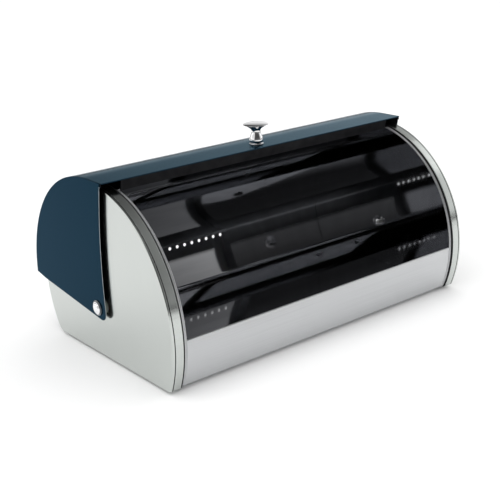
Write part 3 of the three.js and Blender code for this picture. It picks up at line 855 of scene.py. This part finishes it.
def camera():
    a, e = math.radians(CAMERA_AZIMUTH), math.radians(CAMERA_ELEVATION)
    back = Vector((math.sin(a) * math.cos(e), -math.cos(a) * math.cos(e), math.sin(e)))
    data = bpy.data.cameras.new("camera")
    data.lens = LENS
    data.clip_start, data.clip_end = 0.01, 50
    cam = bpy.data.objects.new("camera", data)
    cam.matrix_world = Matrix.Translation(CAMERA_AT) @ (
        back.to_track_quat("Z", "Y").to_matrix() @ Matrix.Rotation(math.radians(CAMERA_ROLL), 3, "Z")
    ).to_4x4()
    bpy.context.scene.collection.objects.link(cam)
    bpy.context.scene.camera = cam


def floor():
    mesh = bpy.data.meshes.new("floor")
    mesh.from_pydata([(-6, -6, 0), (6, -6, 0), (6, 6, 0), (-6, 6, 0)], [], [(0, 1, 2, 3)])
    pale = Finish("pale_floor", Base_Color=(0.93, 0.93, 0.93, 1), Roughness=0.9, Specular_IOR_Level=0.1)
    mesh.materials.append(pale.material)
    piece = bpy.data.objects.new("floor", mesh)
    bpy.context.scene.collection.objects.link(piece)


def softbox(name, azimuth, elevation, distance, width, height, power):
    """A large area light that faces the bin, at an azimuth (0 in front, 90 to the right) and elevation."""
    a, e = math.radians(azimuth), math.radians(elevation)
    away = Vector((math.sin(a) * math.cos(e), -math.cos(a) * math.cos(e), math.sin(e)))
    data = bpy.data.lights.new(name, "AREA")
    data.shape, data.size, data.size_y, data.energy = "RECTANGLE", width, height, power
    light = bpy.data.objects.new(name, data)
    light.location = away * distance + BIN_MIDDLE
    light.rotation_mode = "QUATERNION"
    light.rotation_quaternion = away.to_track_quat("Z", "Y")
    bpy.context.scene.collection.objects.link(light)


def studio():
    """A white backdrop for the camera and even light for matt surfaces. Polished ones see a dim room that is
    bright on the right, at the left towards the rear and low down at the rear."""
    world = bpy.data.worlds.new("studio")
    world.use_nodes = True
    bpy.context.scene.world = world
    nodes, links = world.node_tree.nodes, world.node_tree.links
    backdrop = nodes["Background"]
    where = nodes.new("ShaderNodeTexCoord")
    split = nodes.new("ShaderNodeSeparateXYZ")
    links.new(where.outputs["Generated"], split.inputs[0])

    def ramp(value, start, end, low, high):
        node = nodes.new("ShaderNodeMapRange")
        node.interpolation_type = "SMOOTHSTEP"
        for socket, number in zip(("From Min", "From Max", "To Min", "To Max"), (start, end, low, high)):
            node.inputs[socket].default_value = number
        links.new(value, node.inputs["Value"])
        return node.outputs["Result"]

    def math_node(operation, a, b):
        node = nodes.new("ShaderNodeMath")
        node.operation = operation
        for i, value in enumerate((a, b)):
            if isinstance(value, (int, float)):
                node.inputs[i].default_value = value
            else:
                links.new(value, node.inputs[i])
        return node.outputs[0]

    x, y, z = (split.outputs[axis] for axis in "XYZ")
    room = math_node("ADD", ramp(x, 0.36, 0.78, 0.0, 0.85), 0.08)
    room = math_node("MULTIPLY", room, ramp(y, -0.4, 0.5, 1.0, 0.55))
    low = math_node("MULTIPLY", ramp(z, 0.05, 0.45, 0.45, 0.0), ramp(y, -0.5, 0.1, 0.2, 1.0))
    rear = math_node("MULTIPLY", ramp(y, 0.3, 0.65, 0.0, 0.35), ramp(z, 0.33, 0.55, 1.0, 0.0))
    left = math_node("MULTIPLY", ramp(x, -0.5, -0.2, 0.85, 0.0), ramp(y, -0.5, -0.2, 0.0, 1.0))
    for part in (low, rear, left):
        room = math_node("ADD", room, part)
    room = math_node("MULTIPLY", room, ramp(math_node("ABSOLUTE", z, 0), 0.03, 0.11, 0.15, 1.0))
    path = nodes.new("ShaderNodeLightPath")

    def switch(flag, yes, no):
        node = nodes.new("ShaderNodeMix")
        links.new(path.outputs[flag], node.inputs[0])
        links.new(no, node.inputs[2])
        node.inputs[3].default_value = yes
        return node.outputs[0]

    strength = switch("Is Camera Ray", 1.05, switch("Is Diffuse Ray", 1.17, room))
    links.new(strength, backdrop.inputs["Strength"])
    backdrop.inputs["Color"].default_value = (1, 1, 1, 1)
    softbox("key", azimuth=-70, elevation=62, distance=1.6, width=1.4, height=1.0, power=4)
    softbox("side", azimuth=78, elevation=24, distance=1.6, width=0.8, height=1.2, power=1.5)
    bpy.context.scene.view_settings.view_transform = "Standard"


build()
camera()
floor()
studio()
